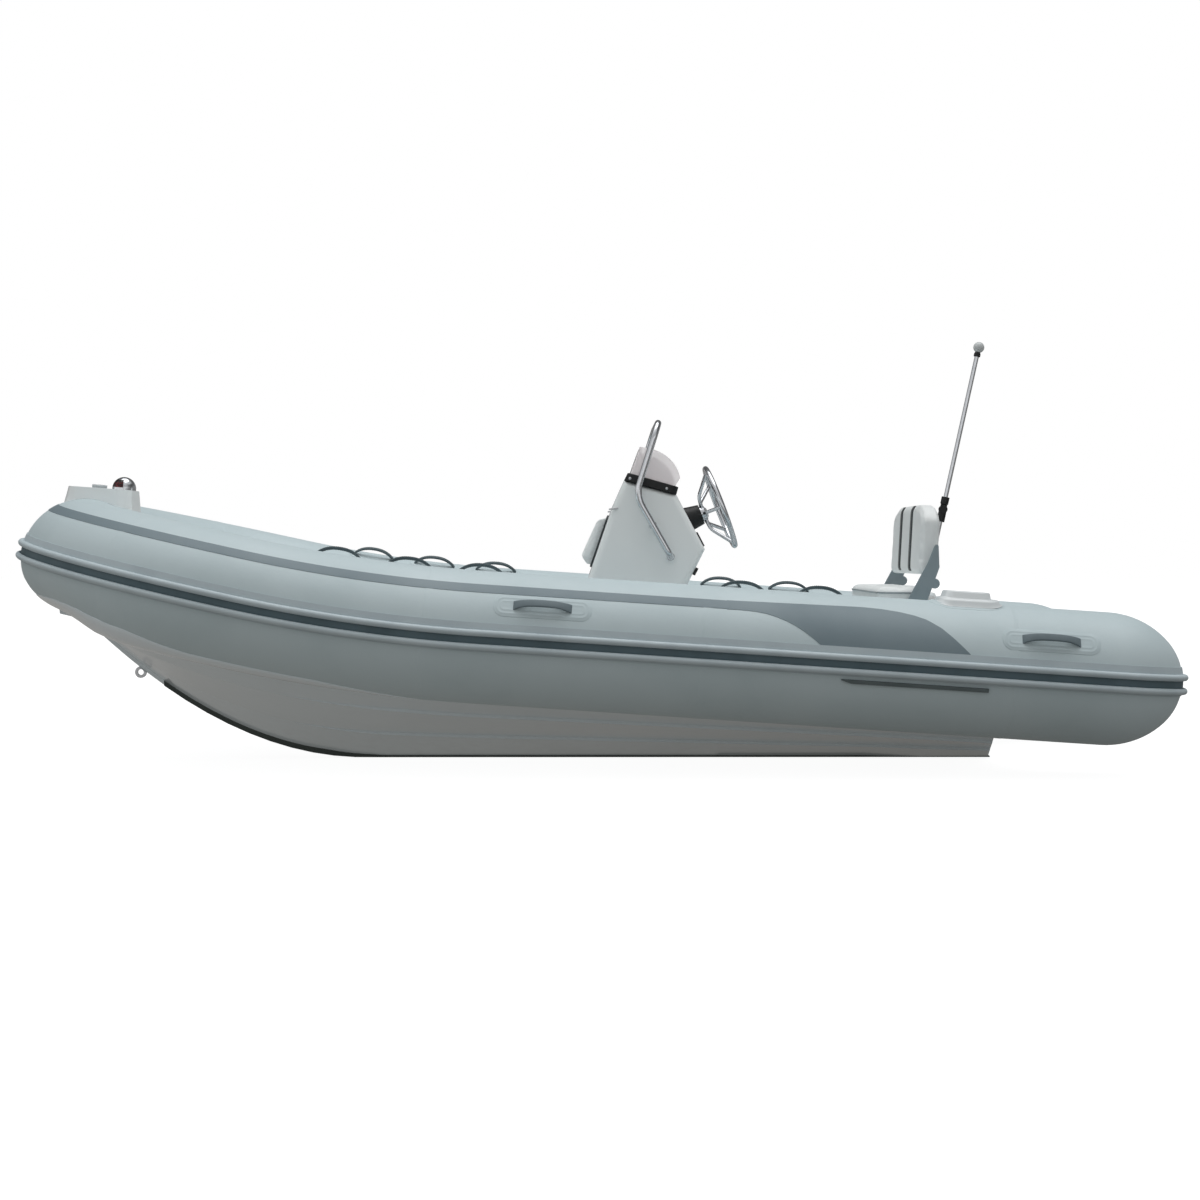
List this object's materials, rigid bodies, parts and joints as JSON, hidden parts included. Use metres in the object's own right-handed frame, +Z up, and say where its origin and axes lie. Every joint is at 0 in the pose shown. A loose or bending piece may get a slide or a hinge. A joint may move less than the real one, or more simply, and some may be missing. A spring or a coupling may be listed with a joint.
{
  "type": "rigid inflatable boat",
  "caption": "Rigid inflatable boat with a vee hull, air tubes, a helm console with windscreen, a flip-over stern seat and a folding light mast.",
  "frame": {"origin": "on the waterline, amidships, on the centreline", "axes": "+X forward to the bow, +Y to port, +Z up"},
  "size_m": [4.8842, 2.18, 1.8216],
  "materials": {
    "hull_shell": "satin pale grey gelcoat",
    "keel_guard": "matt black",
    "deck_surface": "non-slip grey",
    "tube_fabric": "satin coated fabric, pale grey",
    "rail_rubber": "satin grey with a dark valley",
    "dark_rubber": "matt dark grey",
    "accent_fabric": "satin dark grey coated fabric",
    "handle_rubber": "matt dark grey",
    "white_moulding": "gloss white moulding",
    "grey_moulding": "satin pale grey moulding",
    "stainless": "polished stainless steel",
    "black_plastic": "satin black",
    "red_lens": "clear red",
    "green_lens": "clear green",
    "smoked_glass": "smoked acrylic",
    "seat_vinyl": "pale grey vinyl",
    "arm_grey": "satin dark grey",
    "globe_white": "frosted white"
  },
  "bodies": {
    "boat": {"hull": "hull_shell", "keel_strip": "keel_guard", "deck_panel": "deck_surface", "transom": "hull_shell", "motor_pad": "black_plastic", "tube_port": "tube_fabric", "tube_starboard": "tube_fabric", "tube_bow": "tube_fabric", "rubrail": "rail_rubber", "lower_strakes": "dark_rubber", "accent_stripe": "accent_fabric", "lift_handles": "handle_rubber", "grab_handles": "handle_rubber", "bow_locker": "white_moulding", "bow_eye": "stainless", "tow_eyes": "stainless", "bow_step": "grey_moulding", "nav_light_housing": "stainless", "nav_lens_red": "red_lens", "nav_lens_green": "green_lens", "bow_cleat": "stainless", "stern_steps": "grey_moulding", "console_shell": "white_moulding", "screen_base": "black_plastic", "windscreen": "smoked_glass", "console_rail": "stainless", "helm_bezel": "black_plastic", "front_pad": "seat_vinyl", "front_seat_box": "white_moulding", "seat_box": "white_moulding", "seat_cushion": "seat_vinyl", "pivot_studs": "stainless", "mast_lower": "stainless"},
    "wheel": {"steering_wheel": "stainless"},
    "backrest": {"backrest_arms": "arm_grey", "backrest_cushion": "seat_vinyl"},
    "mast_head": {"mast_upper": "stainless", "mast_globe": "globe_white"},
    "bow_lid": {"bow_locker_lid": "white_moulding"},
    "front_lid": {"front_seat_lid": "white_moulding", "front_seat_cushion": "seat_vinyl"},
    "helm_door": {"console_door": "white_moulding"},
    "stern_door": {"seat_door": "white_moulding"}
  },
  "joints": [
    {"name": "steering", "type": "hinge", "parent": "boat", "child": "wheel", "pos_m": [-0.42269, 0, 0.84], "axis": [-0.9336, 0, 0.3584], "range_deg": [-540, 540]},
    {"name": "backrest_flip", "type": "hinge", "parent": "boat", "child": "backrest", "pos_m": [-1.34, 0, 0.43], "axis": [0, 1, 0], "range_deg": [0, 38]},
    {"name": "mast_fold", "type": "hinge", "parent": "boat", "child": "mast_head", "pos_m": [-1.55049, 0, 0.8875], "axis": [0, -1, 0], "range_deg": [0, 90]},
    {"name": "bow_lid_hinge", "type": "hinge", "parent": "boat", "child": "bow_lid", "pos_m": [1.635, 0, 0.64033], "axis": [0, 1, 0], "range_deg": [0, 85]},
    {"name": "front_lid_hinge", "type": "hinge", "parent": "boat", "child": "front_lid", "pos_m": [0.52, 0, 0.4253], "axis": [0, 1, 0], "range_deg": [0, 80]},
    {"name": "console_door_hinge", "type": "hinge", "parent": "boat", "child": "helm_door", "pos_m": [-0.4013, -0.23, 0.34], "axis": [-0.0787, 0, 0.9969], "range_deg": [0, 100]},
    {"name": "stern_door_hinge", "type": "hinge", "parent": "boat", "child": "stern_door", "pos_m": [-1.1837, 0, 0.185], "axis": [0, 1, 0], "range_deg": [0, 90]}
  ]
}
